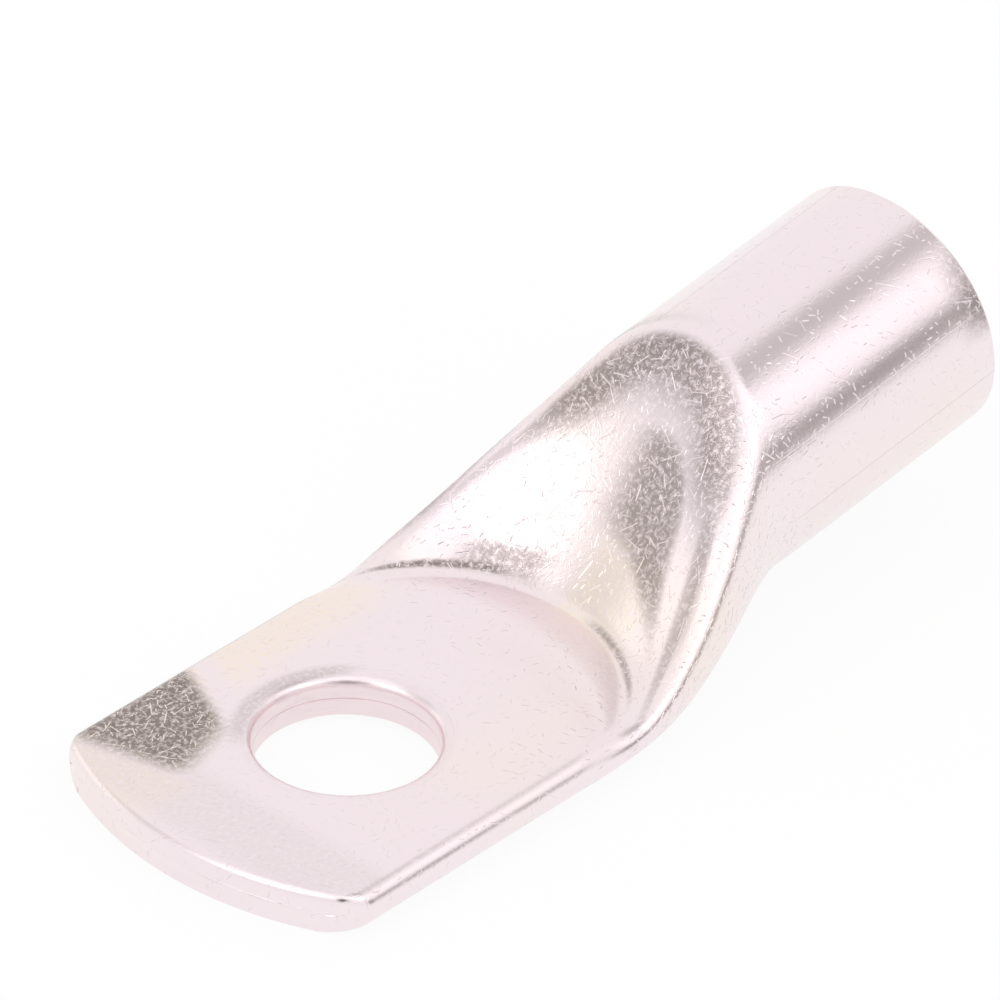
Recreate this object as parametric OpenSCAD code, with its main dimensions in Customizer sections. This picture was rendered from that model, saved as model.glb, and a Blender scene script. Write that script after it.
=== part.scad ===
// Tube cable lug: a round copper tube, tinned, with one end pressed flat into a palm for a stud.
// Origin: the stud-hole axis on the palm's contact face. +X to the barrel mouth, +Z up through the palm. mm.

/* [Barrel] */
// Outside diameter of the tube, mm
barrel_d = 19.4; // [17.5:0.1:21]
// Wall of the tube, mm
wall = 1.8; // [1.3:0.1:2.3]
// Distance of the barrel mouth from the stud-hole axis, measured along the contact face, mm
mouth_x = 56; // [50:0.5:70]
// Upward pitch of the barrel out of the plane of the palm, degrees
pitch = 7; // [2:0.5:9]
// How far the barrel's underside lies below the contact face where the neck ends, mm
seat_drop = 0.4; // [0:0.1:1.2]
// Bevel on the inside and outside edges of the mouth, mm
mouth_bevel = 0.3; // [0.1:0.05:0.5]

/* [Palm] */
// Width of the palm across its two folded edges, mm
palm_w = 28; // [26.6:0.1:29.4]
// Thickness of the palm as a share of two walls pressed together
squeeze = 0.86; // [0.75:0.01:1]
// Distance of the palm's tip from the stud-hole axis, mm
tip_x = 17.2; // [14.5:0.1:22]
// Plan radius of the rounded tip as a share of the palm's width
tip_bow = 0.957; // [0.8:0.01:1.3]
// Plan radius of the tip's two corners, mm
corner_r = 1.4; // [0.8:0.1:2]
// Stud hole for an M12 bolt, mm
stud_d = 13; // [10.5:0.1:14.5]
// Depth of the rolled-over top edge that punching leaves round the hole and along the tip, mm
roll = 0.8; // [0.4:0.05:1]
// Width of the rolled-over edge round the hole as a share of its depth
roll_wide = 1.5; // [1:0.1:1.8]

/* [Neck] */
// Distance from the stud-hole axis to the middle of the root line, where the pressed flat ends, mm
root_x = 21.8; // [20:0.1:25]
// Plan radius of that root line as a share of the palm's width
root_bow = 0.556; // [0.53:0.002:0.8]
// Slope of the pressed face that climbs from the root line to the barrel, degrees
press_slope = 51; // [42:0.5:60]
// Length of the neck from the root line to the full round of the barrel, mm
neck_l = 15.6; // [14:0.2:20]
// How much earlier the pressed face starts at the palm's sides than a plain arc would, mm
side_lead = 1.4; // [0:0.2:5]
// Softness of the ridge between the pressed face and the tube, mm
ridge_soft = 5.5; // [1:0.1:6]
// Softness of the root line in the middle, mm
root_soft = 0.9; // [0.4:0.1:1.5]
// Softness that the root line gains towards the palm's sides, where it fades out, mm
side_soft = 3; // [0:0.5:6]

/* [Fineness] */
// Facets in a quarter of each neck section
quarter_n = 20; // [16:1:22]
// Sections along the neck
neck_n = 38; // [28:1:42]

/* [Hidden] */
$fn = 96;
r_out = barrel_d / 2;
r_bore = r_out - wall;
palm_t = 2 * wall * squeeze;
tip_r = tip_bow * palm_w;
root_r = root_bow * palm_w;
roll_w = roll_wide * roll;
neck_end = root_x + neck_l;
axis_z0 = r_out / cos(pitch) - seat_drop;
barrel_l = (mouth_x - neck_end) / cos(pitch);
lap = 1.5;
step_in = 0.02;
edge_weight = 3;
tube_bow = 0.4;
slot_x = root_x + 2.4;
inner_n = 16;

// Easing from 0 to 1 between a and b
function ease(x, a, b) =
    let (t = max(0, min(1, (x - a) / (b - a))))
    t * t * (3 - 2 * t);

// Smaller and larger of two values, with the corner between them rounded over k
function soft_min(a, b, k) =
    let (h = max(k - abs(a - b), 0) / k)
    min(a, b) - h * h * k / 4;
function soft_max(a, b, k) = -soft_min(-a, -b, k);

// Places along the neck, as shares of its length from the root line
function neck_at(f) = root_x + f * neck_l;

// The tube on its way from flat to round: half height, half width, side radius, underside
function half_h(s) = palm_t / 2 + (r_out - palm_t / 2) * pow(ease(s, neck_at(-0.5), neck_at(0.885)), 1.56);
function half_w(s) = palm_w / 2 + (r_out - palm_w / 2) * pow(ease(s, neck_at(0.125), neck_at(0.86)), 1.14);
function side_r(s) = let (h = half_h(s)) h + (half_w(s) - h) * ease(s, neck_at(-0.3), neck_at(1.95));
function axis_z(s) = axis_z0 + (s - neck_end) * tan(pitch);
function under_z(s) = (axis_z(s) - r_out) * ease(s, neck_at(-0.61), neck_at(1.1));
function mid_z(s) = under_z(s) + half_h(s);
function lean(s) = pitch * ease(s, root_x, neck_end);

// Height of the pressed face over the contact face; it starts earlier towards the sides, where the root line turns
function press_z(s, y) =
    let (edge = pow(2 * y / palm_w, 4))
    soft_max(palm_t + (s - root_x + side_lead * edge) * tan(press_slope), palm_t, root_soft + side_soft * edge);

// Softness of the ridge along the neck; where the neck ends it stays within the gap from pressed face to barrel
crest_gap = palm_t + neck_l * tan(press_slope) - axis_z0 - r_out;
end_soft = min(ridge_soft, 0.8 * crest_gap);
function ridge_k(s) =
    (ridge_soft + (end_soft - ridge_soft) * ease(s, neck_at(0.6), neck_end)) * ease(s, neck_at(-0.3), neck_at(0.3));

// Stations bow with the root line in the neck and with the tip at the other end
function sag(r, y) = r - sqrt(r * r - y * y);
function bow(s, y) =
    s < 0 ? sag(tip_r, y) * (1 - ease(s, -tip_x, -tip_x / 3))
          : -sag(root_r, y) * (s < root_x ? ease(s, 0, root_x) : 1 - ease(s, root_x, neck_at(1.15)));

// Rounding lost from a corner of radius r at the depth d behind the end
function nip(r, d) = d >= r ? 0 : r - sqrt(r * r - (r - d) * (r - d));

// Quarter of a section as [share of the half width, share of the half height], middle to side
function quarter(hw, sr) =
    let (flat = hw - sr, arc = edge_weight * sr * PI / 2)
    [for (i = [0 : quarter_n])
        let (q = i / quarter_n * (flat + arc), a = q < flat ? 0 : min(90, (q - flat) / (edge_weight * sr) * 180 / PI))
        [q < flat ? q : flat + sr * sin(a), cos(a)]];

// Where the tube stands at the station s and the width y: it bows less than the root line does
function tube_x(s, y) = s + tube_bow * min(0, bow(s, y));

// One point of the skin, "up" above the middle height m, in the leaning and bowed plane of its station
function place(s, y, m, up) = [s + bow(s, y) - up * sin(lean(s)), y, m + up * cos(lean(s))];

// A closed section of the tube, offset inwards by "in" for the space inside, where the ridge is tighter
function ring(s, in) =
    let (hw = half_w(s) - in - (in == 0 ? nip(corner_r, s + tip_x) : 0),
         sr = min(hw, max(half_h(s), side_r(s)) - in),
         drop = in / cos(press_slope) + (in == 0 ? nip(roll, s + tip_x) : 0),
         k = max(0.02, ridge_k(s) - in),
         half = [for (p = quarter(hw, sr))
             let (y = p[0], x = tube_x(s, y), m = mid_z(x), h = (half_h(x) - in) * p[1])
             [place(s, y, m, max(-h, soft_min(m + h, press_z(s, y) - drop, k) - m)), place(s, y, m, -h)]],
         top = [for (p = half) p[0]],
         bot = [for (p = half) p[1]],
         n = quarter_n)
    concat([for (i = [n : -1 : 1]) top[i]],
           [for (i = [0 : n - 1]) [top[i][0], -top[i][1], top[i][2]]],
           [for (i = [n : -1 : 1]) [bot[i][0], -bot[i][1], bot[i][2]]],
           [for (i = [0 : n - 1]) bot[i]]);

// Skin through a list of rings with the two ends closed
module skin(rings) {
    n = len(rings[0]);
    m = len(rings);
    sides = [for (i = [0 : m - 2], j = [0 : n - 1])
        let (k = (j + 1) % n, a = i * n + j, b = i * n + k, c = a + n, d = b + n)
        each [[a, c, b], [b, c, d]]];
    caps = [for (e = [0, m - 1], j = [0 : n / 2 - 1])
        let (a = e * n + j, b = a + 1, c = e * n + n - 1 - j, d = e * n + (n - j) % n)
        each concat(j > 0 ? [e == 0 ? [a, c, d] : [a, d, c]] : [],
                    j < n / 2 - 1 ? [e == 0 ? [a, b, c] : [a, c, b]] : [])];
    polyhedron(points = [for (r = rings) each r], faces = concat(sides, caps), convexity = 6);
}

// Stations of the outside: tip edge, palm, run-up to the root line, neck, a lap inside the barrel
tip_stations = [for (a = [0 : 18 : 90]) -tip_x + corner_r * (1 - cos(a))];
palm_stations = [-tip_x * 0.72, -tip_x / 2, -tip_x / 3, 0];
rise_stations = [for (i = [1 : 8]) i / 8 * (root_x - root_soft)];
neck_stations = [for (i = [1 : neck_n]) root_x - root_soft + pow(i / neck_n, 1.15) * (neck_l + root_soft)];
outer_stations = concat(tip_stations, palm_stations, rise_stations, neck_stations, [neck_end + lap]);

// Stations of the space inside: from the slot to the same lap inside the barrel
inner_stations = [for (i = [0 : inner_n]) slot_x + i / inner_n * (neck_end + lap - slot_x)];

// The outside of the flattened tube
module tube_skin() {
    skin([for (s = outer_stations) ring(s, s > neck_end - step_in ? step_in : 0)]);
}

// Its straight barrel, in true round faces
module barrel() {
    translate([neck_end, 0, axis_z0])
        rotate([0, 90 - pitch, 0]) {
            cylinder(h = barrel_l - mouth_bevel, r = r_out);
            translate([0, 0, barrel_l - mouth_bevel])
                cylinder(h = mouth_bevel, r1 = r_out, r2 = r_out - mouth_bevel);
        }
}

// Round bore of the barrel, open at the mouth
module bore() {
    translate([neck_end, 0, axis_z0])
        rotate([0, 90 - pitch, 0]) {
            translate([0, 0, lap / 3])
                cylinder(h = barrel_l, r = r_bore);
            translate([0, 0, barrel_l - mouth_bevel])
                cylinder(h = 2 * mouth_bevel, r1 = r_bore, r2 = r_bore + 2 * mouth_bevel);
        }
}

// Space inside the neck, closing to a slot where the two walls meet
module throat() {
    skin([for (s = inner_stations) ring(s, wall + step_in)]);
}

// Stud hole with the edge on top rolled over by the punch
module stud_hole() {
    translate([0, 0, -1])
        cylinder(h = palm_t + 2, d = stud_d);
    translate([0, 0, palm_t - roll])
        rotate_extrude()
            polygon(concat([[0, 0], [stud_d / 2, 0]],
                           [for (a = [15 : 15 : 90]) [stud_d / 2 + roll_w * (1 - cos(a)), roll * sin(a)]],
                           [[stud_d / 2 + roll_w, 2 * roll], [0, 2 * roll]]));
}

module lug() {
    color([0.86, 0.84, 0.84])
        difference() {
            union() {
                tube_skin();
                barrel();
            }
            bore();
            throat();
            stud_hole();
        }
}

lug();
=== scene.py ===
import math

import bpy
from mathutils import Matrix, Vector


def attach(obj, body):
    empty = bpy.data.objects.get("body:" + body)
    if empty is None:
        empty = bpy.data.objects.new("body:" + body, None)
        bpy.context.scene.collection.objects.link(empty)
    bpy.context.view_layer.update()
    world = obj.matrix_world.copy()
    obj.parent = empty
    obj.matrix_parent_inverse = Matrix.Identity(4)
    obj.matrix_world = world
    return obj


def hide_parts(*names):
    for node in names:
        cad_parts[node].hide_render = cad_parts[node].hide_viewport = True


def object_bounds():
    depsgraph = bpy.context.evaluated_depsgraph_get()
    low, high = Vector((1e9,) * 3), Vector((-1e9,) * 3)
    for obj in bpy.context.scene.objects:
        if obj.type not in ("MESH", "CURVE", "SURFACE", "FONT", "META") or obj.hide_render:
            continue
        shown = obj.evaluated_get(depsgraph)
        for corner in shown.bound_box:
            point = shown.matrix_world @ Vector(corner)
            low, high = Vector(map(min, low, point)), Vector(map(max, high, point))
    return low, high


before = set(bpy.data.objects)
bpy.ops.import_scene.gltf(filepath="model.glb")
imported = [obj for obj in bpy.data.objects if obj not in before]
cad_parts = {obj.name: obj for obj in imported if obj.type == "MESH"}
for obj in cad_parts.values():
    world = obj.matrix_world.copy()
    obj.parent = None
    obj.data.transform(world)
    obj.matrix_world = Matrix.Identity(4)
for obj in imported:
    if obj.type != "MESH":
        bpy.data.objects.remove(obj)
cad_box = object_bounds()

bl_info = {
    "name": "Tube Cable Lug",
    "version": (1, 0, 0),
    "blender": (4, 5, 0),
    "location": "3D View > Sidebar > Cable Lug",
    "description": "Builds a tinned copper tube lug from its sizes, with its finish and a plain studio",
    "category": "Object",
}

LUG_NODE = "lug"
LUG_BODY = "root"
LUG_SLOT = "tin_plate"
PIECE = "tube_lug"

# One millimetre in metres, and one degree in radians
MM = 0.001
DEGREE = math.pi / 180.0

# Rows along the skin: tip edge, palm, neck, barrel, bevel, face of the mouth, bore, throat
TIP_ROWS = 8
PALM_ROWS = 56
NECK_ROWS = 128
BARREL_ROWS = 36
BEVEL_ROWS = 2
FACE_ROWS = 4
BORE_ROWS = 16
THROAT_ROWS = 36
# Columns in a quarter of the skin's section
QUARTER_COLUMNS = 54
# Columns and rolled-edge rows of the punch for the stud hole
HOLE_COLUMNS = 160
ROLL_ROWS = 10

# How much closer the points stand round the side of a section than on its flat
EDGE_WEIGHT = 3.0
# Share of the root line's bow that the tube itself follows
TUBE_BOW = 0.4
# Distance behind the root line at which the space inside closes to a slot, mm
SLOT_BEHIND = 2.4
# Height of the line between the two pressed walls, as a share of the palm, and half its width, mm
SEAM_LEVEL = 0.44
HALF_SEAM = 0.06
# Points closer than this are one point, m
WELD_GAP = 0.0000015
# Edges that turn less than this are smooth, radians
SMOOTH_TURN = 0.7

# Share of the height that the lay adds, so that it keeps true length up the pressed face
CLIMB_SHARE = 0.48
# Height over the pressed face that marks the underside, out of reach of every zone of stains, painted dark
# reflections and painted crease shade, mm
UNDERSIDE = 30.0
# How fast the painted dark reflection bands along the shoulder climb away from the ridge
SHOULDER_LEAN = 0.2
# Distance from the tip to where the neck's belly rests on the floor, m
REST_SPAN = 0.0444


# ---------------------------------------------------------------- sums on sockets

class Amount:
    """A number in a node tree. Python sums on it add Math nodes."""

    def __init__(self, tree, socket):
        self.tree = tree
        self.socket = socket

    def __add__(self, other):
        return self.tree.math("ADD", self, other)

    def __radd__(self, other):
        return self.tree.math("ADD", other, self)

    def __sub__(self, other):
        return self.tree.math("SUBTRACT", self, other)

    def __rsub__(self, other):
        return self.tree.math("SUBTRACT", other, self)

    def __mul__(self, other):
        return self.tree.math("MULTIPLY", self, other)

    def __rmul__(self, other):
        return self.tree.math("MULTIPLY", other, self)

    def __truediv__(self, other):
        return self.tree.math("DIVIDE", self, other)

    def __pow__(self, other):
        return self.tree.math("POWER", self, other)

    def __neg__(self):
        return self.tree.math("MULTIPLY", self, -1.0)

    def __abs__(self):
        return self.tree.math("ABSOLUTE", self)

    def __lt__(self, other):
        return self.tree.math("LESS_THAN", self, other)


class Tree:
    """Adds nodes to a node tree, each by its type, its settings and its sockets."""

    def __init__(self, nodes_of):
        self.data = nodes_of

    def node(self, kind, settings=None, sockets=None):
        made = self.data.nodes.new(kind)
        for name, value in (settings or {}).items():
            setattr(made, name, value)
        for name, value in (sockets or {}).items():
            self.feed(made.inputs[name], value)
        return made

    def feed(self, socket, value):
        """Links a socket or an Amount to a socket, or sets a plain value on it."""
        if isinstance(value, Amount):
            self.data.links.new(value.socket, socket)
        elif isinstance(value, bpy.types.NodeSocket):
            self.data.links.new(value, socket)
        else:
            socket.default_value = value

    def out(self, made, name=0):
        return Amount(self, made.outputs[name])

    def math(self, operation, *values):
        return self.out(self.node("ShaderNodeMath", {"operation": operation}, dict(enumerate(values))))

    def attribute(self, name, kind="FLOAT"):
        """A value that the mesh keeps on its points, inside a geometry tree."""
        return self.node("GeometryNodeInputNamedAttribute", {"data_type": kind}, {"Name": name}).outputs[0]

    def low(self, a, b):
        return self.math("MINIMUM", a, b)

    def high(self, a, b, *others):
        most = self.math("MAXIMUM", a, b)
        for other in others:
            most = self.math("MAXIMUM", most, other)
        return most

    def clamp(self, a):
        return self.low(self.high(a, 0.0), 1.0)

    def ease(self, x, a, b):
        """Eases from 0 to 1 as x goes from a to b."""
        t = self.clamp((x - a) / (b - a))
        return t * t * (3.0 - 2.0 * t)

    def band(self, value, middle, full, gone):
        """1 within full of the middle, falling to 0 at gone."""
        return 1.0 - self.ease(abs(value - middle), full, gone)

    def soft_low(self, a, b, soft):
        """The smaller of two, with the corner rounded over soft."""
        h = self.high(soft - abs(a - b), 0.0) / soft
        return self.low(a, b) - h * h * soft * 0.25

    def soft_high(self, a, b, soft):
        return -self.soft_low(-a, -b, soft)

    def vector(self, x, y, z=0.0):
        return self.node("ShaderNodeCombineXYZ", None, {0: x, 1: y, 2: z}).outputs[0]

    def parts(self, vector):
        made = self.node("ShaderNodeSeparateXYZ", None, {0: vector})
        return [self.out(made, i) for i in range(3)]

    def blend(self, share, first, second):
        """Mixes two colours."""
        made = self.node("ShaderNodeMix", {"data_type": "RGBA"}, {"Factor": share})
        self.feed(made.inputs[6], first)
        self.feed(made.inputs[7], second)
        return made.outputs[2]


# ---------------------------------------------------------------- sizes and colours

class LugSizes(bpy.types.PropertyGroup):
    """Sizes of the lug, in millimetres and degrees."""

    barrel_d: bpy.props.FloatProperty(
        name="Barrel Diameter", description="Outside diameter of the tube, mm", default=19.4,
    )
    wall: bpy.props.FloatProperty(
        name="Wall", description="Wall of the tube, mm", default=1.8,
    )
    mouth_x: bpy.props.FloatProperty(
        name="Mouth", description="Stud-hole axis to the barrel mouth, mm", default=56.0,
    )
    pitch: bpy.props.FloatProperty(
        name="Pitch", description="Upward pitch of the barrel, degrees", default=7.0,
    )
    seat_drop: bpy.props.FloatProperty(
        name="Seat Drop", description="Barrel underside below the contact face, mm", default=0.4,
    )
    mouth_bevel: bpy.props.FloatProperty(
        name="Mouth Bevel", description="Bevel on the edges of the mouth, mm", default=0.3,
    )
    palm_w: bpy.props.FloatProperty(
        name="Palm Width", description="Palm across its folded edges, mm", default=28.0,
    )
    squeeze: bpy.props.FloatProperty(
        name="Squeeze", description="Palm thickness as a share of two walls", default=0.86,
    )
    tip_x: bpy.props.FloatProperty(
        name="Tip", description="Stud-hole axis to the palm's tip, mm", default=17.2,
    )
    tip_bow: bpy.props.FloatProperty(
        name="Tip Bow", description="Tip radius as a share of the palm's width", default=0.957,
    )
    corner_r: bpy.props.FloatProperty(
        name="Corner Radius", description="Plan radius of the tip's corners, mm", default=1.4,
    )
    stud_d: bpy.props.FloatProperty(
        name="Stud Hole", description="Stud hole, mm", default=13.0,
    )
    roll: bpy.props.FloatProperty(
        name="Roll", description="Depth of the rolled-over edges, mm", default=0.8,
    )
    roll_wide: bpy.props.FloatProperty(
        name="Roll Width", description="Width of the roll round the hole over its depth", default=1.5,
    )
    root_x: bpy.props.FloatProperty(
        name="Root", description="Stud-hole axis to the root line, mm", default=21.8,
    )
    root_bow: bpy.props.FloatProperty(
        name="Root Bow", description="Root line radius as a share of the palm's width", default=0.556,
    )
    press_slope: bpy.props.FloatProperty(
        name="Press Slope", description="Slope of the pressed face, degrees", default=51.0,
    )
    neck_l: bpy.props.FloatProperty(
        name="Neck Length", description="Root line to the full round, mm", default=15.6,
    )
    side_lead: bpy.props.FloatProperty(
        name="Side Lead", description="Lead of the pressed face at the sides, mm", default=1.4,
    )
    ridge_soft: bpy.props.FloatProperty(
        name="Ridge Softness", description="Softness of the shoulder ridge, mm", default=5.5,
    )
    root_soft: bpy.props.FloatProperty(
        name="Root Softness", description="Softness of the root line, mm", default=0.9,
    )
    side_soft: bpy.props.FloatProperty(
        name="Side Softness", description="Softness gained towards the sides, mm", default=3.0,
    )
    seam: bpy.props.FloatProperty(
        name="Seam", description="Depth of the line between the two pressed walls, mm", default=0.09,
    )
    wave: bpy.props.FloatProperty(
        name="Waviness", description="Unevenness that forming leaves, mm", default=0.05,
    )


class TinColours(bpy.types.PropertyGroup):
    """Colours, roughness and scratches of the tinned metal."""

    tin: bpy.props.FloatVectorProperty(
        name="Tin", description="Bright tin plate", subtype="COLOR", size=3, default=(0.92, 0.82, 0.85),
    )
    cream: bpy.props.FloatVectorProperty(
        name="Cream", description="Warmer patches of the plate", subtype="COLOR",
        size=3, default=(0.94, 0.84, 0.75),
    )
    cut: bpy.props.FloatVectorProperty(
        name="Cut Face", description="Sawn and punched metal", subtype="COLOR",
        size=3, default=(0.90, 0.75, 0.76),
    )
    # Colour of real stains, also used to paint dark reflections on the neck and crease shade along the root
    # line
    stain: bpy.props.FloatVectorProperty(
        name="Stain", description="Dull rubbed metal", subtype="COLOR", size=3, default=(0.27, 0.225, 0.21),
    )
    bore: bpy.props.FloatVectorProperty(
        name="Bore", description="Dull metal inside the barrel", subtype="COLOR",
        size=3, default=(0.42, 0.39, 0.36),
    )
    roughness: bpy.props.FloatProperty(
        name="Roughness", description="Roughness of the plate between scratches", subtype="FACTOR",
        default=0.2, min=0.0, max=1.0,
    )
    scratch: bpy.props.FloatProperty(
        name="Scratch Depth", description="Depth of the tumbling scratches, mm", default=0.012,
    )


class StudioSettings(bpy.types.PropertyGroup):
    """Camera and floor."""

    azimuth: bpy.props.FloatProperty(
        name="Azimuth", description="Camera azimuth, degrees", default=-47.76,
    )
    elevation: bpy.props.FloatProperty(
        name="Elevation", description="Camera elevation, degrees", default=34.71,
    )
    roll: bpy.props.FloatProperty(
        name="Roll", description="Camera roll, degrees", default=1.25,
    )
    distance: bpy.props.FloatProperty(
        name="Distance", description="Camera to its aim", unit="LENGTH", default=0.8322,
    )
    lens: bpy.props.FloatProperty(
        name="Lens", description="Focal length on a 36 mm sensor, mm", default=429.3,
    )
    aim: bpy.props.FloatVectorProperty(
        name="Aim", description="Point in the middle of the view", subtype="XYZ", unit="LENGTH",
        size=3, default=(0.02488, 0.00893, 0.00582),
    )
    floor: bpy.props.FloatVectorProperty(
        name="Floor", description="Colour of the floor", subtype="COLOR", size=3, default=(1.0, 1.0, 1.0),
    )


# ---------------------------------------------------------------- the lug's shape

SHAPE_INPUTS = list(LugSizes.__annotations__)


class LugRule:
    """The rule that takes the tube from its round barrel to its flat palm, as sums in a geometry tree."""

    def __init__(self, tree, sizes):
        self.t = tree
        for name, amount in sizes.items():
            setattr(self, name, amount)
        self.r_out = self.barrel_d * 0.5
        self.palm_t = self.wall * self.squeeze * 2.0
        self.tip_r = self.tip_bow * self.palm_w
        self.root_r = self.root_bow * self.palm_w
        self.neck_end = self.root_x + self.neck_l
        self.pitch_r = self.pitch * DEGREE
        self.rise = tree.math("TANGENT", self.pitch_r)
        self.axis_z0 = self.r_out / tree.math("COSINE", self.pitch_r) - self.seat_drop
        self.press_tan = tree.math("TANGENT", self.press_slope * DEGREE)
        self.press_cos = tree.math("COSINE", self.press_slope * DEGREE)
        crest_gap = self.palm_t + self.neck_l * self.press_tan - self.axis_z0 - self.r_out
        self.end_soft = tree.low(self.ridge_soft, crest_gap * 0.8)

    def neck_at(self, share):
        """Station at a share of the neck's length behind the root line."""
        return self.root_x + self.neck_l * share

    def half_h(self, s):
        """Half height of the tube at the station s."""
        grown = self.t.ease(s, self.neck_at(-0.5), self.neck_at(0.885)) ** 1.56
        return self.palm_t * 0.5 + (self.r_out - self.palm_t * 0.5) * grown

    def half_w(self, s):
        """Half width of the tube at the station s."""
        grown = self.t.ease(s, self.neck_at(0.125), self.neck_at(0.86)) ** 1.14
        return self.palm_w * 0.5 + (self.r_out - self.palm_w * 0.5) * grown

    def side_r(self, s):
        """Radius of the tube's rounded side at the station s."""
        h = self.half_h(s)
        return h + (self.half_w(s) - h) * self.t.ease(s, self.neck_at(-0.3), self.neck_at(1.95))

    def axis_z(self, s):
        """Height of the barrel's axis."""
        return self.axis_z0 + (s - self.neck_end) * self.rise

    def under_z(self, s):
        """Height of the underside, which runs from the contact face to the barrel."""
        return (self.axis_z(s) - self.r_out) * self.t.ease(s, self.neck_at(-0.61), self.neck_at(1.1))

    def press_z(self, s, y):
        """Height of the pressed face, which starts earlier towards the sides."""
        edge = abs(y * 2.0 / self.palm_w) ** 4.0
        climb = self.palm_t + (s - self.root_x + self.side_lead * edge) * self.press_tan
        return self.t.soft_high(climb, self.palm_t, self.root_soft + self.side_soft * edge)

    def ridge_k(self, s, inset):
        """Softness of the ridge: none on the palm, and within the gap to the barrel where the neck ends."""
        late = self.t.ease(s, self.neck_at(0.6), self.neck_end)
        soft = self.ridge_soft + (self.end_soft - self.ridge_soft) * late
        grown = self.t.ease(s, self.neck_at(-0.3), self.neck_at(0.3))
        return self.t.high(soft * grown - inset, 0.02)

    def sag(self, radius, y):
        """How far an arc has turned back at the width y."""
        return radius - self.t.math("SQRT", self.t.high(radius * radius - y * y, 0.0))

    def bow(self, s, y):
        """How far a station bows at the width y: in all, and by the root line alone."""
        tip = self.sag(self.tip_r, y) * (1.0 - self.t.ease(s, -self.tip_x, self.tip_x * (-1.0 / 3.0)))
        root = self.sag(self.root_r, y) * self.t.ease(s, 0.0, self.root_x)
        root = root * (1.0 - self.t.ease(s, self.root_x, self.neck_at(1.15)))
        return tip - root, root

    def nip(self, radius, depth):
        """Rounding lost from a corner at a depth behind the end."""
        left = self.t.high(radius - depth, 0.0)
        return radius - self.t.math("SQRT", self.t.high(radius * radius - left * left, 0.0))

    def point(self, s, inset, opened, share):
        """Place of the point at the station s and the share (0 to 1) round its section.

        Also its lay for the scratches, and its form for the zones of stains, painted dark reflections and
        painted crease shade.
        """
        t = self.t
        # Half of the section and side of it, and how far the point is from its middle to its side
        is_top = share < 0.5
        way = is_top * (1.0 - share * 4.0) + (1.0 - is_top) * (share * 4.0 - 3.0)
        side = t.math("SIGN", way)
        reach = abs(way)

        # Width of the point: first along the flat, then round the side
        back = s + self.tip_x
        hw = self.half_w(s) - inset - self.nip(self.corner_r, back)
        sr = t.low(hw, t.high(self.half_h(s), self.side_r(s)) - inset)
        flat = hw - sr
        run = reach * (flat + sr * (EDGE_WEIGHT * math.pi / 2))
        turn = t.low(t.high((run - flat) / (sr * EDGE_WEIGHT), 0.0), math.pi / 2)
        y = t.low(run, flat) + sr * t.math("SINE", turn)

        # Height of the point: the tube's, or the pressed face's where that is lower
        bow, root_bow = self.bow(s, y)
        x = s - root_bow * TUBE_BOW
        half = self.half_h(x)
        middle = self.under_z(x) + half
        half = (half - inset) * t.math("COSINE", turn)
        soft = self.ridge_k(s, inset)
        drop = inset / self.press_cos + self.nip(self.roll, back)
        press = self.press_z(s, y)
        pressed = t.soft_low(middle + half, press - drop, soft) - middle
        up = (is_top * t.high(-half, pressed) - (1.0 - is_top) * half) * opened

        # Place in the leaning and bowed plane of the station
        lean = self.pitch_r * t.ease(s, self.root_x, self.neck_end)
        x_mm = s + bow - up * t.math("SINE", lean)
        z_mm = middle + up * t.math("COSINE", lean)
        place = t.vector(x_mm * MM, side * y * MM, z_mm * MM)

        # Lay: way along the lug, way round it, and 0 where the way round jumps from one side to the other
        quarter_way = t.low(run, flat) + sr * turn
        whole_quarter = flat + sr * (math.pi / 2)
        round_way = side * (is_top * quarter_way + (1.0 - is_top) * (whole_quarter * 2.0 - quarter_way))
        clear = t.high(is_top, t.ease(reach, 0.02, 0.06))
        lay = t.vector(x_mm + z_mm * CLIMB_SHARE + inset, round_way, clear)

        # Form: station, height of the tube over the pressed face, and the same along the leaning shoulder
        above = is_top * (middle + half - press) - (1.0 - is_top) * UNDERSIDE
        form = t.vector(s, above, above - (s - self.root_x) * SHOULDER_LEAN)
        return place, lay, form


def noise(tree, vector, scale, detail, roughness):
    """Cloudy noise round 0.5, with as many clouds in a metre as its scale."""
    return tree.out(tree.node("ShaderNodeTexNoise", None, {
        "Vector": vector, "Scale": scale, "Detail": detail, "Roughness": roughness,
    }))


def stepped(tree, row, start, legs):
    """Value that starts at start and changes by each leg's amount over its rows."""
    value, at = start, 0
    for rows, change in legs:
        if change is not None:
            value = value + tree.clamp((row - float(at)) / float(rows)) * change
        at += rows
    return value


def grid(tree, rows, columns):
    """A closed tube of rows by columns; gives its mesh, row number and share round it."""
    made = tree.node("GeometryNodeMeshGrid", None, {
        "Size X": 1.0, "Size Y": 1.0, "Vertices X": rows + 1, "Vertices Y": columns + 1,
    })
    at = tree.node("GeometryNodeInputPosition")
    x, y, _ = tree.parts(at.outputs[0])
    row = tree.math("ROUND", (x + 0.5) * float(rows))
    share = tree.math("ROUND", (y + 0.5) * float(columns)) / float(columns)
    return made.outputs[0], row, share


def store(tree, mesh, name, kind, value):
    """Keeps a value on the mesh's points under a name."""
    made = tree.node("GeometryNodeStoreNamedAttribute", {"data_type": kind, "domain": "POINT"}, {
        "Geometry": mesh, "Name": name,
    })
    socket = next(i for i in made.inputs if i.name == "Value" and i.enabled)
    tree.feed(socket, value)
    return made.outputs[0]


def place_points(tree, mesh, place):
    """Moves the mesh's points to their places."""
    return tree.node("GeometryNodeSetPosition", None, {"Geometry": mesh, "Position": place}).outputs[0]


def weld(tree, mesh):
    """Joins the points that fall together where the skin closes."""
    made = tree.node("GeometryNodeMergeByDistance", None, {"Geometry": mesh, "Distance": WELD_GAP})
    return made.outputs[0]


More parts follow.
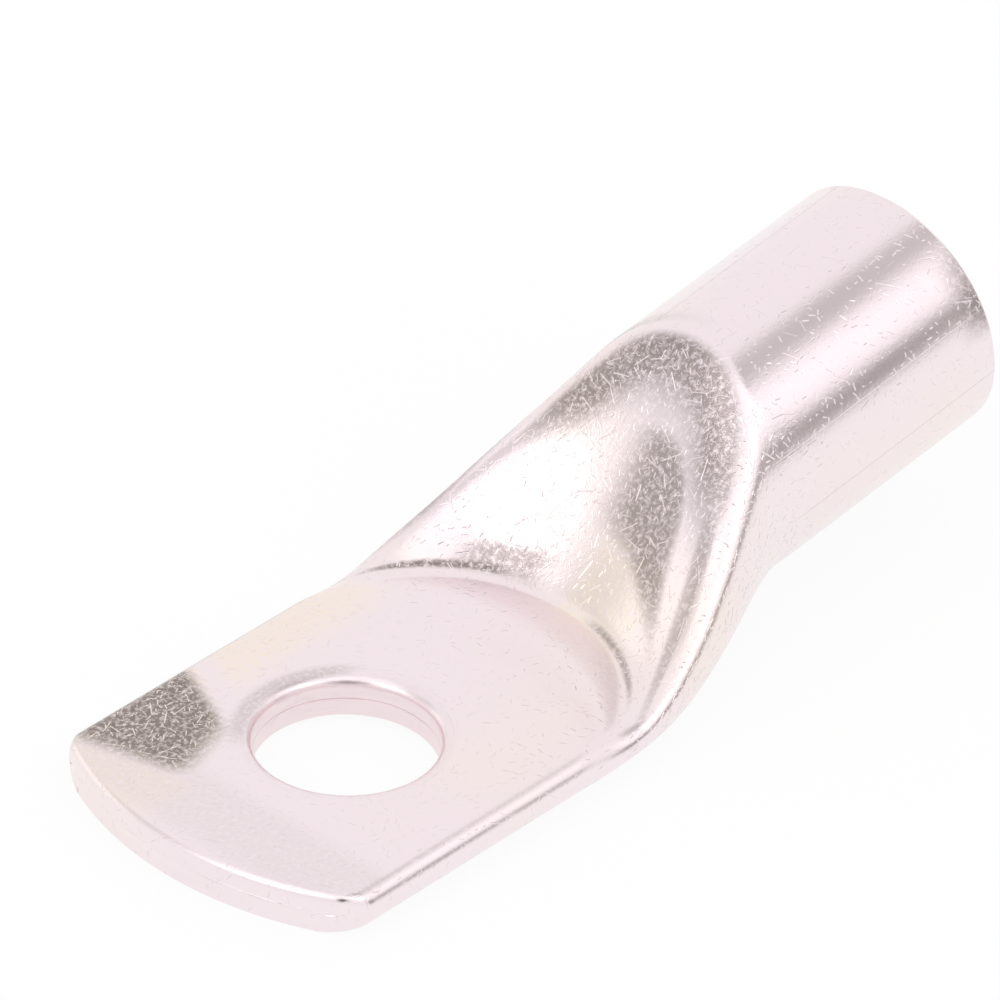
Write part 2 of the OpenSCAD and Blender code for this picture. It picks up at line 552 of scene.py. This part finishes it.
def skin_rows(rule):
    """Legs of the skin in order, each as its rows, its change of station and its change of inset.

    They start at the line in the tip, run over palm, neck and barrel, round the mouth and back up the bore.
    """
    bevel = rule.mouth_bevel
    neck_from = rule.neck_at(-0.35)
    neck_to = rule.neck_at(1.15)
    slot = rule.root_x + SLOT_BEHIND
    return [
        (1, None, None),
        (1, None, None),
        (TIP_ROWS, None, None),
        (PALM_ROWS, neck_from + rule.tip_x - rule.corner_r, None),
        (NECK_ROWS, neck_to - neck_from, None),
        (BARREL_ROWS, rule.mouth_x - bevel - neck_to, None),
        (BEVEL_ROWS, bevel, bevel),
        (FACE_ROWS, None, rule.wall - bevel * 2.0),
        (BEVEL_ROWS, -bevel, bevel),
        (BORE_ROWS, rule.neck_end - rule.mouth_x + bevel, None),
        (THROAT_ROWS, slot - rule.neck_end, None),
        (1, None, None),
    ]


# Legs before the bevel inside the mouth
OUTER_LEGS = 8


def build_skin(tree, rule):
    """The whole tube in one skin: outside, mouth and bore, closed by the line where its walls meet."""
    legs = skin_rows(rule)
    rows = sum(leg[0] for leg in legs)
    inside_from = sum(leg[0] for leg in legs[:OUTER_LEGS])
    mesh, row, share = grid(tree, rows, 4 * QUARTER_COLUMNS)
    corner = tree.clamp((row - 2.0) / float(TIP_ROWS)) * (math.pi / 2)
    s = stepped(tree, row, -rule.tip_x, [(count, change) for count, change, _ in legs])
    s = s + rule.corner_r * (1.0 - tree.math("COSINE", corner)) + (row < 0.5) * rule.seam
    inset = stepped(tree, row, 0.0, [(count, change) for count, _, change in legs])
    # The walls touch at both ends of the skin; the first row off the line in the tip opens it only a little
    opened = tree.clamp(row) * 0.07 + tree.clamp(row - 1.0) * 0.93 - tree.clamp(row - float(rows - 1))
    place, lay, form = rule.point(s, inset, opened, share)
    mesh = store(tree, mesh, "lay", "FLOAT_VECTOR", lay)
    mesh = store(tree, mesh, "form", "FLOAT_VECTOR", form)
    mesh = store(tree, mesh, "inside", "FLOAT", tree.clamp((row - float(inside_from)) / float(BEVEL_ROWS)))
    mesh = store(tree, mesh, "outside", "FLOAT", 1.0 - tree.clamp(inset * 20.0))
    mesh = tree.node("GeometryNodeFlipFaces", None, {0: place_points(tree, mesh, place)}).outputs[0]
    return weld(tree, mesh)


def build_punch(tree, rule):
    """The punch for the stud hole: a straight wall, the line between the two walls, and the rolled edge."""
    r = rule.stud_d * 0.5
    wide = rule.roll_wide * rule.roll
    seam_at = rule.palm_t * SEAM_LEVEL
    wall_top = rule.palm_t - rule.roll
    # Legs of the punch from its lower end, each as its rows, its change of radius and its change of height
    legs = [
        (1, r, None),
        (1, None, seam_at - HALF_SEAM + 1.0),
        (1, rule.seam, HALF_SEAM),
        (1, -rule.seam, HALF_SEAM),
        (1, None, wall_top - seam_at - HALF_SEAM),
        (ROLL_ROWS, None, None),
        (1, None, 1.0),
        (1, -(r + wide), None),
    ]
    rows = sum(leg[0] for leg in legs)
    roll_from = float(sum(leg[0] for leg in legs[:5]))
    mesh, row, share = grid(tree, rows, HOLE_COLUMNS)
    turn = tree.clamp((row - roll_from) / float(ROLL_ROWS)) * (math.pi / 2)
    radius = stepped(tree, row, 0.0, [(count, change) for count, change, _ in legs])
    radius = radius + wide * (1.0 - tree.math("COSINE", turn))
    height = stepped(tree, row, -1.0, [(count, change) for count, _, change in legs])
    height = height + rule.roll * tree.math("SINE", turn)
    angle = share * (-2.0 * math.pi)
    place = tree.vector(
        radius * tree.math("COSINE", angle) * MM,
        radius * tree.math("SINE", angle) * MM,
        height * MM,
    )
    mesh = store(tree, mesh, "lay", "FLOAT_VECTOR", tree.vector(height + 90.0, angle * r, 1.0))
    mesh = place_points(tree, mesh, place)
    return weld(tree, mesh)


def uneven(tree, mesh, rule):
    """Slight waves that forming leaves, strongest in the neck, always inwards."""
    at = tree.node("GeometryNodeInputPosition").outputs[0]
    x = tree.parts(at)[0] * (1.0 / MM)
    outside = Amount(tree, tree.attribute("outside"))
    wide_waves = noise(tree, at, 150.0, 1.0, 0.4)
    small_waves = noise(tree, at, 520.0, 1.0, 0.4)
    neck_over = tree.ease(x, rule.neck_end - 7.4, rule.neck_end + 2.6)
    in_neck = tree.ease(x, rule.root_x - 4.8, rule.root_x + 2.2) * (1.0 - neck_over)
    depth = wide_waves * 0.8 + small_waves * 0.25 * in_neck + 0.35
    depth = depth * (0.25 + in_neck) * outside * rule.wave * -MM
    normal = tree.node("GeometryNodeInputNormal").outputs[0]
    offset = tree.node("ShaderNodeVectorMath", {"operation": "SCALE"}, {0: normal, "Scale": depth})
    moved = tree.node("GeometryNodeSetPosition", None, {"Geometry": mesh, "Offset": offset.outputs[0]})
    return moved.outputs[0]


class PlateZones:
    """Where the plate has stains, where dark reflections and crease shade are painted on it, and where it is
    creamy, each from 0 to 1.

    Places and widths are in mm. Near means the side towards -Y, and far the side towards +Y.
    """

    def __init__(self, tree, rule):
        self.t = tree
        self.rule = rule
        place = tree.node("GeometryNodeInputPosition").outputs[0]
        self.x, self.y, self.z = [part * (1.0 / MM) for part in tree.parts(place)]
        self.s, self.above, self.shoulder = tree.parts(tree.attribute("form", "FLOAT_VECTOR"))
        self.half_palm = rule.palm_w * 0.5
        self.near = 1.0 - tree.ease(self.y, -1.5, 2.0)
        self.on_top = tree.ease(self.z, rule.palm_t - 0.5, rule.palm_t - 0.2)
        self.on_palm = self.on_top * (1.0 - tree.ease(self.s, rule.root_x - 3.0, rule.root_x))
        neck_begun = tree.ease(self.s, rule.root_x - 1.0, rule.root_x + 3.0)
        neck_over = tree.ease(self.s, rule.neck_end - 3.0, rule.neck_end + 3.0)
        self.in_neck = neck_begun * (1.0 - neck_over)
        self.from_tip = self.x + rule.tip_x
        # Slanting line that bounds the tip's patch towards the tip
        self.tip_side = self.from_tip - 3.8 - (12.0 - self.y) * 0.25
        # Slanting line that bounds it towards the stud hole
        self.hole_side = self.x + 2.2 + (12.5 - self.y) * 0.46

    def shoulder_painted_reflection(self):
        """Painted dark reflections: a dark streak and a fainter one along the near shoulder."""
        t = self.t
        streak = t.band(self.shoulder, -0.3, 0.2, 0.55) * self.near
        streak = streak * t.ease(self.s, self.rule.root_x + 1.0, self.rule.root_x + 3.5)
        faint = t.band(self.shoulder, -2.4, 0.4, 0.9) * self.near * self.in_neck
        return t.high(streak * 0.8, faint * 0.5)

    def crest_painted_reflection(self):
        """Painted dark reflections on the crest of the pressed face and along the face's far edge."""
        t = self.t
        crest = t.band(self.above, -0.4, 0.6, 1.9) * t.band(self.s, self.rule.neck_end - 4.0, 2.0, 5.5)
        edge = t.band(self.above, -4.7, 0.5, 1.7) * (1.0 - self.near)
        edge = edge * t.band(self.s, self.rule.root_x + 9.0, 4.0, 8.0)
        return t.high(crest * 0.85, edge * 0.6)

    def fold_painted_shade(self):
        """Painted crease shade along the root line at both sides, with a painted dark patch behind its far
        part.
        """
        t = self.t
        lead = self.rule.side_lead * abs(self.y / self.half_palm) ** 4.0
        fold = self.s - self.rule.root_x + lead
        far_line = t.band(fold, 0.45, 0.15, 0.5) * t.band(self.y, 8.5, 2.5, 5.0)
        far_patch = t.band(fold, 1.1, 0.4, 1.4) * t.band(self.y, 5.5, 1.5, 4.0)
        near_line = t.band(fold, -0.2, 0.1, 0.45) * t.band(self.y, -7.0, 2.5, 5.0)
        return t.high(far_line, far_patch * 0.7, near_line * 0.7) * self.on_top

    def tip_patch(self):
        """A dark patch at the far corner of the tip, between three slanting lines."""
        t = self.t
        patch = t.ease(self.tip_side, -0.7, 1.7) * (1.0 - t.ease(self.hole_side, -0.9, 0.3)) * self.on_palm
        near_side = self.y - 4.5 - (self.x + 11.4) * 0.3
        return patch * t.ease(near_side, -1.0, 1.6)

    def palm_stain(self):
        """Faint stains: round the far side of the stud hole, along the far edge and along the tip."""
        t = self.t
        from_hole = t.math("SQRT", self.x * self.x + self.y * self.y)
        rim = t.band(from_hole, self.rule.stud_d * 0.5 + 1.0, 0.2, 0.8)
        rim = rim * t.ease(self.y, 4.0, 6.0) * self.on_palm
        edge = t.ease(self.y, self.half_palm - 1.1, self.half_palm - 0.4) * t.band(self.x, 5.0, 7.0, 10.0)
        along_tip = t.band(self.from_tip, 4.2, 2.0, 4.0) * self.on_palm
        return t.high(rim * 0.3, edge * 0.5, along_tip * 0.1)

    def mouth_stain(self):
        """A patch at the mouth, high on the barrel's near side."""
        t = self.t
        cosine = t.math("COSINE", self.rule.pitch_r)
        sine = t.math("SINE", self.rule.pitch_r)
        lift = (self.z - self.rule.axis_z0) * cosine - (self.x - self.rule.neck_end) * sine
        to_mouth = (self.rule.mouth_x - self.x) / cosine
        patch = t.band(lift, self.rule.r_out * 0.55, 1.6, 3.4) * (1.0 - t.ease(to_mouth, 0.5, 4.0))
        return patch * self.near * 0.75

    def cream(self, tip_patch):
        """Warmer metal along the tip and the far edge, in the dark patch and at the pressed face's foot."""
        t = self.t
        tip = (1.0 - t.ease(self.tip_side, -1.0, 1.0)) * t.ease(self.y, 1.0, 6.0) * self.on_palm
        far_edge = t.ease(self.y, 7.5, 11.0) * t.band(self.x, 5.0, 6.0, 12.0) * self.on_palm
        foot = t.band(self.s, self.rule.root_x + 1.5, 1.5, 4.0) * t.band(self.y, -3.5, 2.5, 5.0)
        # A clean crescent parts the dark patch from the far edge
        crescent = t.band(self.hole_side, 1.2, 0.5, 1.2) * t.ease(self.y, 4.0, 7.0) * self.on_palm
        return t.high(tip * 0.7, far_edge * 0.9, foot * self.on_top, tip_patch) * (1.0 - crescent)


def mark_zones(tree, mesh, rule):
    """Keeps the shares of stains with painted dark reflections and crease shade, of rubbed metal and of
    cream on the mesh's points.
    """
    zones = PlateZones(tree, rule)
    tip_patch = zones.tip_patch()
    # Shoulder, crest and root-line marks are painted dark reflections and crease shade; tip, palm and mouth
    # marks are stains
    stain_and_painted_shade = tree.high(
        zones.shoulder_painted_reflection(), zones.crest_painted_reflection(), zones.fold_painted_shade(),
        tip_patch, zones.palm_stain(), zones.mouth_stain(),
    )
    rubbed = tree.high(stain_and_painted_shade, zones.in_neck * 0.45)
    marks = tree.vector(stain_and_painted_shade, rubbed, zones.cream(tip_patch))
    return store(tree, mesh, "zones", "FLOAT_VECTOR", marks)


def lug_tree(material):
    """Geometry tree of the lug, with one input for each size."""
    data = bpy.data.node_groups.new("Lug Rule", "GeometryNodeTree")
    data.interface.new_socket("Geometry", in_out="OUTPUT", socket_type="NodeSocketGeometry")
    data.interface.new_socket("Geometry", in_out="INPUT", socket_type="NodeSocketGeometry")
    for name in SHAPE_INPUTS:
        data.interface.new_socket(name, in_out="INPUT", socket_type="NodeSocketFloat")
    tree = Tree(data)
    given = tree.node("NodeGroupInput")
    rule = LugRule(tree, {name: tree.out(given, name) for name in SHAPE_INPUTS})
    skin = uneven(tree, build_skin(tree, rule), rule)
    punch = build_punch(tree, rule)
    cut = tree.node("GeometryNodeMeshBoolean", {"operation": "DIFFERENCE", "solver": "EXACT"}, {
        "Mesh 1": skin, "Mesh 2": punch,
    })
    turn = tree.out(tree.node("GeometryNodeInputMeshEdgeAngle"))
    smooth = tree.node("GeometryNodeSetShadeSmooth", {"domain": "FACE"}, {
        0: cut.outputs[0], "Shade Smooth": True,
    })
    smooth = tree.node("GeometryNodeSetShadeSmooth", {"domain": "EDGE"}, {
        0: smooth.outputs[0], "Shade Smooth": turn < SMOOTH_TURN,
    })
    marked = mark_zones(tree, smooth.outputs[0], rule)
    whole = tree.node("GeometryNodeRealizeInstances", None, {0: marked})
    dressed = tree.node("GeometryNodeSetMaterial", None, {0: whole.outputs[0], "Material": material})
    tree.node("NodeGroupOutput", None, {0: dressed.outputs[0]})
    return data


def make_lug(sizes, colours):
    """Builds the lug from its rule as one plain mesh that stands for the CAD node."""
    material = tin_plate(sizes, colours)
    maker = bpy.data.objects.new(PIECE + "_rule", bpy.data.meshes.new(PIECE + "_rule"))
    bpy.context.scene.collection.objects.link(maker)
    modifier = maker.modifiers.new("Lug Rule", "NODES")
    group = lug_tree(material)
    modifier.node_group = group
    for item in group.interface.items_tree:
        if item.in_out == "INPUT" and item.name in SHAPE_INPUTS:
            modifier[item.identifier] = getattr(sizes, item.name)
    graph = bpy.context.evaluated_depsgraph_get()
    mesh = bpy.data.meshes.new_from_object(maker.evaluated_get(graph), depsgraph=graph)
    mesh.name = PIECE
    piece = bpy.data.objects.new(PIECE, mesh)
    bpy.context.scene.collection.objects.link(piece)
    maker.modifiers.clear()
    bpy.data.objects.remove(maker)
    if not mesh.polygons or not mesh.materials:
        raise RuntimeError("the lug's rule gave no skin, or one without its finish")
    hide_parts(LUG_NODE)
    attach(piece, LUG_BODY)
    return piece


# ---------------------------------------------------------------- the finish

def scratch_layer(tree, along, across, cell, length, width, keep, seed):
    """Straight scratches in mm, at most one in each cell of a random pattern, each at its own angle.

    Keep is the share of the cells that have one, and seed moves the pattern.
    """
    u = along / cell + seed
    w = across / cell + seed * 0.37
    cells = tree.node("ShaderNodeTexVoronoi", {"voronoi_dimensions": "2D", "feature": "F1"}, {
        "Vector": tree.vector(u, w), "Scale": 1.0, "Randomness": 1.0,
    })
    cu, cw, _ = tree.parts(cells.outputs["Position"])
    chance, pick, size = tree.parts(cells.outputs["Color"])
    angle = chance * (2.0 * math.pi)
    cosine = tree.math("COSINE", angle)
    sine = tree.math("SINE", angle)
    du, dw = u - cu, w - cw
    run = abs(du * cosine + dw * sine) * cell
    off = abs(dw * cosine - du * sine) * cell
    line = tree.clamp(1.0 - off / width)
    ends = tree.clamp(((size * 0.7 + 0.3) * length * 0.5 - run) / (width * 2.0))
    return line * ends * (pick < keep) * (0.5 + 0.5 * size)


# Fine lines that drawing leaves along the tube: angle round it in degrees, and width in mm
DRAW_LINES = ((155.0, 0.07), (-174.0, 0.06), (63.0, 0.04))
# Colour of the darker scratches and draw lines
LINE_COLOUR = (0.55, 0.48, 0.48, 1.0)


class LugRegions:
    """Sawn, punched, drawn and inner surfaces of the lug, each from 0 to 1."""

    def __init__(self, tree, sizes, place):
        x, y, z = [part * (1.0 / MM) for part in tree.parts(place)]
        r_out = sizes.barrel_d / 2
        pitch = math.radians(sizes.pitch)
        neck_end = sizes.root_x + sizes.neck_l
        axis_z0 = r_out / math.cos(pitch) - sizes.seat_drop
        barrel_l = (sizes.mouth_x - neck_end) / math.cos(pitch)
        to_mouth = (x - neck_end) * math.cos(pitch) + (z - axis_z0) * math.sin(pitch)
        lift = (z - axis_z0) * math.cos(pitch) - (x - neck_end) * math.sin(pitch)
        from_hole = tree.math("SQRT", x * x + y * y)
        self.inside = tree.out(tree.node("ShaderNodeAttribute", {"attribute_name": "inside"}), "Fac")
        self.cut_face = tree.ease(to_mouth, barrel_l - 0.25, barrel_l - 0.05)
        self.hole_wall = 1.0 - tree.ease(from_hole, sizes.stud_d / 2 + 0.1, sizes.stud_d / 2 + 0.3)
        around = tree.math("ARCTAN2", lift, y)
        lines = [
            tree.clamp(1.0 - abs(around - math.radians(angle)) * (r_out / width))
            for angle, width in DRAW_LINES
        ]
        self.draw_lines = tree.high(*lines) * tree.ease(x, neck_end - 5.0, neck_end) * (1.0 - self.inside)


def tin_plate(sizes, colours):
    """Bright tin plate with tumbling scratches, stains, painted dark reflections and crease shade, draw
    lines, cut faces and a dull bore.
    """
    material = bpy.data.materials.new(LUG_SLOT)
    material.use_nodes = True
    tree = Tree(material.node_tree)
    shader = material.node_tree.nodes["Principled BSDF"]
    place = tree.node("ShaderNodeTexCoord").outputs["Object"]
    region = LugRegions(tree, sizes, place)
    lay = tree.node("ShaderNodeAttribute", {"attribute_name": "lay"})
    along, across, clear = tree.parts(lay.outputs["Vector"])
    zones = tree.node("ShaderNodeAttribute", {"attribute_name": "zones"})
    stain_and_painted_shade, rubbed, creamy = tree.parts(zones.outputs["Vector"])

    pebble = noise(tree, place, 2600.0, 3.0, 0.65) - 0.5
    patch = noise(tree, place, 60.0, 1.0, 0.5)

    # Short scratches are few on the flats and dense where the metal is rubbed; long ones fade on the flats
    wander = pebble * rubbed * 0.5
    short = scratch_layer(
        tree, along + wander, across + wander,
        cell=0.48, length=0.75, width=0.06, keep=0.3 + rubbed * 0.6, seed=63.9,
    )
    short = short * (0.6 + 0.4 * rubbed)
    long = scratch_layer(
        tree, along, across,
        cell=1.4, length=2.0, width=0.06, keep=0.35 + rubbed * 0.5, seed=41.3,
    )
    long = long * (0.3 + 0.7 * rubbed)
    scored = tree.high(short, long) * clear

    # Scratches and draw lines go in, and the pebbled grain goes both ways, as multiples of the scratch depth
    height = scored * -1.8 - region.draw_lines * 1.2
    height = height + pebble * (0.8 + 1.4 * stain_and_painted_shade + 1.8 * rubbed + 1.2 * region.inside)
    bump = tree.node("ShaderNodeBump", None, {
        "Strength": 1.0, "Distance": colours.scratch * MM, "Height": height,
    })

    # Cream patches under the cut faces, the dull bore, the speckled stains with painted dark reflections and
    # crease shade, and the darker lines
    warm = tree.high(tree.clamp((patch - 0.5) * 4.0) * 0.5, tree.clamp(creamy * (0.9 + pebble * 3.0)))
    colour = tree.blend(warm, (*colours.tin, 1.0), (*colours.cream, 1.0))
    colour = tree.blend(tree.high(region.cut_face, region.hole_wall * 0.6), colour, (*colours.cut, 1.0))
    colour = tree.blend(region.inside * (0.75 + 0.25 * patch), colour, (*colours.bore, 1.0))
    bare = tree.clamp((short * rubbed + long) * 1.4)
    specks = tree.clamp(pebble * 3.0 + 0.9)
    # The stain colour paints real stains and also dark reflections on the neck and shade along the root line
    colour = tree.blend(tree.clamp(stain_and_painted_shade * specks) * (1.0 - bare), colour, (*colours.stain, 1.0))
    dark_lines = tree.clamp(short * (1.0 - rubbed) * 0.45 + region.draw_lines * 0.45)
    colour = tree.blend(dark_lines, colour, LINE_COLOUR)

    rough = colours.roughness + (patch - 0.5) * 0.1 + scored * 0.1 + stain_and_painted_shade * 0.08
    rough = rough + region.cut_face * 0.25 + region.hole_wall * 0.12 + region.inside * 0.3
    tree.feed(shader.inputs["Base Color"], colour)
    tree.feed(shader.inputs["Roughness"], tree.clamp(rough))
    tree.feed(shader.inputs["Normal"], bump.outputs[0])
    shader.inputs["Metallic"].default_value = 1.0
    return material


# ---------------------------------------------------------------- the studio

def make_camera(settings):
    """A long lens on the lug, turned by its azimuth, elevation and roll."""
    azimuth = math.radians(settings.azimuth)
    elevation = math.radians(settings.elevation)
    roll = math.radians(settings.roll)
    level = math.cos(elevation)
    back = Vector((math.sin(azimuth) * level, -math.cos(azimuth) * level, math.sin(elevation)))
    right = Vector((math.cos(azimuth), math.sin(azimuth), 0.0))
    up = back.cross(right)
    turned_right = right * math.cos(roll) + up * math.sin(roll)
    turned_up = up * math.cos(roll) - right * math.sin(roll)
    camera = bpy.data.objects.new("camera", bpy.data.cameras.new("camera"))
    bpy.context.scene.collection.objects.link(camera)
    turn = Matrix((turned_right, turned_up, back)).transposed().to_4x4()
    turn.translation = Vector(settings.aim) + back * settings.distance
    camera.matrix_world = turn
    camera.data.sensor_width = 36.0
    camera.data.sensor_fit = "HORIZONTAL"
    camera.data.lens = settings.lens
    camera.data.clip_start = 0.01
    camera.data.clip_end = 20.0
    bpy.context.scene.camera = camera


# Reach of the floor from the tip, and its gap under the lug, m
FLOOR_REACH = 3.0
FLOOR_GAP = 0.00002
# Matt colour of the floor, which takes the shadow, and the share that it shows as plain white
FLOOR_MATT = (0.95, 0.95, 0.95, 1.0)
FLOOR_GLOW = 0.9


def make_floor(settings):
    """A wide floor that touches the lug where it rests: at the tip's lower edge and under the neck."""
    low = cad_box[0]
    slope = math.atan2(low.z, REST_SPAN)
    tip = Vector((low.x, 0.0, -FLOOR_GAP))
    run = Vector((math.cos(slope), 0.0, math.sin(slope))) * FLOOR_REACH
    across = Vector((0.0, FLOOR_REACH, 0.0))
    corners = [tip - run - across, tip + run - across, tip + run + across, tip - run + across]
    mesh = bpy.data.meshes.new("floor")
    mesh.from_pydata([tuple(c) for c in corners], [], [(0, 1, 2, 3)])
    floor = bpy.data.objects.new("floor", mesh)
    bpy.context.scene.collection.objects.link(floor)
    material = bpy.data.materials.new("floor_white")
    material.use_nodes = True
    tree = Tree(material.node_tree)
    material.node_tree.nodes.remove(material.node_tree.nodes["Principled BSDF"])
    seen = tree.node("ShaderNodeLightPath")
    rays = ("Is Camera Ray", "Is Glossy Ray", "Is Transmission Ray")
    shown = tree.high(*(tree.out(seen, ray) for ray in rays))
    matt = tree.node("ShaderNodeBsdfDiffuse", None, {"Color": FLOOR_MATT})
    glow = tree.node("ShaderNodeEmission", None, {"Color": (*settings.floor, 1.0), "Strength": 1.0})
    mixed = tree.node("ShaderNodeMixShader", None, {
        0: shown * FLOOR_GLOW, 1: matt.outputs[0], 2: glow.outputs[0],
    })
    output = material.node_tree.nodes["Material Output"]
    tree.feed(output.inputs["Surface"], mixed.outputs[0])
    mesh.materials.append(material)


# Level of the light tent, and the places in it where the level differs, later ones over earlier ones:
# what it is, azimuth, elevation, half angle where full and where gone (degrees), level
TENT_LEVEL = 0.97
TENT_PANELS = (
    ("roof left", -118.0, 66.0, 10.0, 26.0, 1.22),
    ("roof back", 172.0, 62.0, 12.0, 28.0, 1.22),
    ("roof seam", -18.0, 63.0, 5.0, 17.0, 0.58),
    ("dim side", 120.0, 36.0, 8.0, 24.0, 0.80),
    ("low side", 108.0, 15.0, 9.0, 22.0, 1.16),
    ("opening", -138.0, 35.0, 8.0, 26.0, 0.12),
    ("bright back", 168.0, 40.0, 10.0, 24.0, 1.30),
    ("bright left", -86.0, 48.0, 12.0, 26.0, 1.22),
    ("bright strip", -53.0, 40.0, 8.0, 18.0, 1.16),
    ("gap left", -59.0, 13.0, 4.0, 13.0, 0.30),
)


def towards(azimuth, elevation):
    """Direction from the lug, by degrees round from +X and up."""
    a, e = math.radians(azimuth), math.radians(elevation)
    return Vector((math.cos(a) * math.cos(e), math.sin(a) * math.cos(e), math.sin(e)))


def make_world():
    """A light tent: pale all round, with brighter panels, dimmer places and a dark opening."""
    world = bpy.data.worlds.new("studio")
    bpy.context.scene.world = world
    world.use_nodes = True
    tree = Tree(world.node_tree)
    x, y, z = tree.parts(tree.node("ShaderNodeTexCoord").outputs["Generated"])
    level = TENT_LEVEL
    for _, azimuth, elevation, full, gone, panel in TENT_PANELS:
        way = towards(azimuth, elevation)
        facing = x * way.x + y * way.y + z * way.z
        apart = tree.math("ARCCOSINE", tree.low(tree.high(facing, -1.0), 1.0)) * (1.0 / DEGREE)
        share = 1.0 - tree.ease(apart, full, gone)
        level = share * (panel - level) + level
    warmth = tree.clamp((TENT_LEVEL - level) * 1.4)
    tint = tree.blend(warmth, (1.0, 0.985, 0.99, 1.0), (1.0, 0.94, 0.90, 1.0))
    background = world.node_tree.nodes["Background"]
    tree.feed(background.inputs["Color"], tint)
    tree.feed(background.inputs["Strength"], level)


# Point of the lug that the lamps face, m
LAMP_AIM = Vector((0.02, 0.0, 0.006))


def make_lamp(name, azimuth, elevation, distance, size, power):
    """A square soft box that faces the lug."""
    away = towards(azimuth, elevation)
    lamp = bpy.data.objects.new(name, bpy.data.lights.new(name, "AREA"))
    lamp.data.shape = "SQUARE"
    lamp.data.size = size
    lamp.data.energy = power
    lamp.location = LAMP_AIM + away * distance
    lamp.rotation_euler = away.to_track_quat("Z", "Y").to_euler()
    bpy.context.scene.collection.objects.link(lamp)


def make_stage(settings):
    """Camera, floor, light tent and lamps."""
    make_camera(settings)
    make_floor(settings)
    make_world()
    make_lamp("soft_box_left", -78.0, 50.0, 1.0, 0.30, 0.35)
    make_lamp("soft_box_back", 170.0, 40.0, 1.0, 0.35, 0.45)
    bpy.context.scene.view_settings.view_transform = "Standard"


# ---------------------------------------------------------------- operators and panel

class LUG_OT_make(bpy.types.Operator):
    """Builds the tinned tube lug from its sizes"""

    bl_idname = "cable_lug.make"
    bl_label = "Make Lug"

    def execute(self, context):
        make_lug(context.scene.lug_sizes, context.scene.lug_colours)
        return {"FINISHED"}


class LUG_OT_stage(bpy.types.Operator):
    """Builds the floor, the soft light and the camera"""

    bl_idname = "cable_lug.stage"
    bl_label = "Make Stage"

    def execute(self, context):
        make_stage(context.scene.lug_studio)
        return {"FINISHED"}


class LUG_PT_panel(bpy.types.Panel):
    """Lists the lug's sizes, colours, studio settings and operators"""

    bl_idname = "LUG_PT_panel"
    bl_label = "Cable Lug"
    bl_space_type = "VIEW_3D"
    bl_region_type = "UI"
    bl_category = "Cable Lug"

    def draw(self, context):
        for group in (context.scene.lug_sizes, context.scene.lug_colours, context.scene.lug_studio):
            box = self.layout.box()
            for name in type(group).__annotations__:
                box.prop(group, name)
        self.layout.operator(LUG_OT_make.bl_idname)
        self.layout.operator(LUG_OT_stage.bl_idname)


CLASSES = (LugSizes, TinColours, StudioSettings, LUG_OT_make, LUG_OT_stage, LUG_PT_panel)


def register():
    for made in CLASSES:
        bpy.utils.register_class(made)
    bpy.types.Scene.lug_sizes = bpy.props.PointerProperty(type=LugSizes)
    bpy.types.Scene.lug_colours = bpy.props.PointerProperty(type=TinColours)
    bpy.types.Scene.lug_studio = bpy.props.PointerProperty(type=StudioSettings)


def unregister():
    del bpy.types.Scene.lug_studio
    del bpy.types.Scene.lug_colours
    del bpy.types.Scene.lug_sizes
    for made in reversed(CLASSES):
        bpy.utils.unregister_class(made)


def main():
    register()
    bpy.ops.cable_lug.make()
    bpy.ops.cable_lug.stage()


if __name__ == "__main__":
    main()
